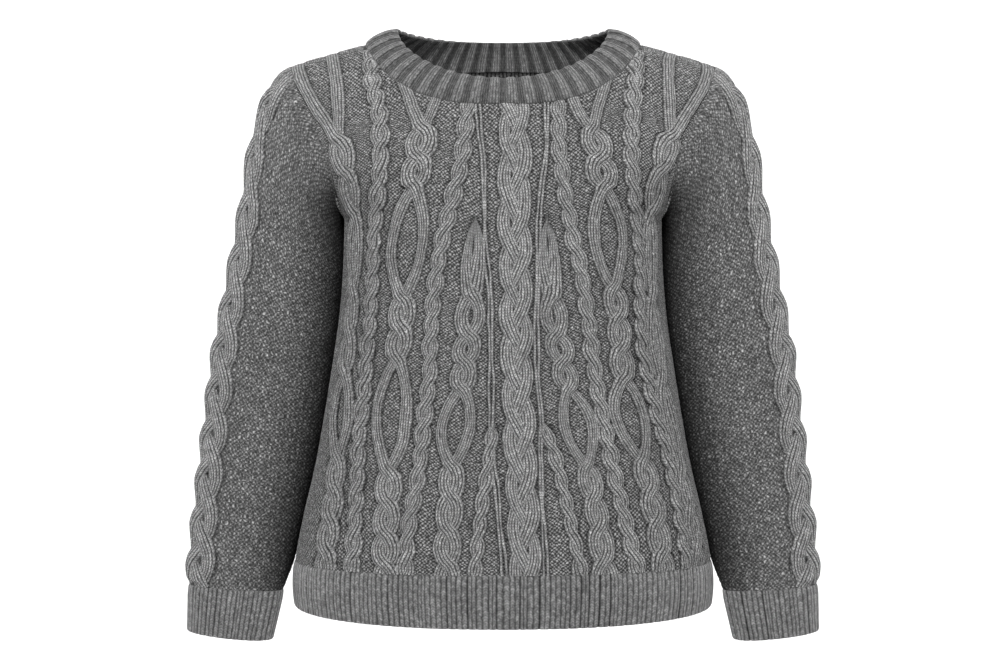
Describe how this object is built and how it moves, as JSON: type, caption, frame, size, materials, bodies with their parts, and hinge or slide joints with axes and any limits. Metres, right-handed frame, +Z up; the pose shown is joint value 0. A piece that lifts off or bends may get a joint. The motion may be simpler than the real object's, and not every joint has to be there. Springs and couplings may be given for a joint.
{
  "type": "cable knit sweater",
  "caption": "Grey crew neck pullover in chunky cable knit with ribbed neckband, cuffs and hem, standing open as if worn, empty inside.",
  "frame": {"origin": "between the shoulders on the centre line, at the height where the shoulder seams reach the neckband, in the plane of the side and shoulder seams", "axes": "+Z up, +X across the chest towards the wearer's left arm, the front faces -Y"},
  "size_m": [0.653, 0.2453, 0.6312],
  "materials": {
    "wool_knit": "matte knitted wool blend, mid grey marl"
  },
  "bodies": {
    "root": {"front": "wool_knit", "back": "wool_knit", "neckband": "wool_knit", "sleeve_right": "wool_knit", "sleeve_left": "wool_knit", "cuff_right": "wool_knit", "cuff_left": "wool_knit", "hem_front": "wool_knit", "hem_back": "wool_knit"}
  },
  "joints": []
}
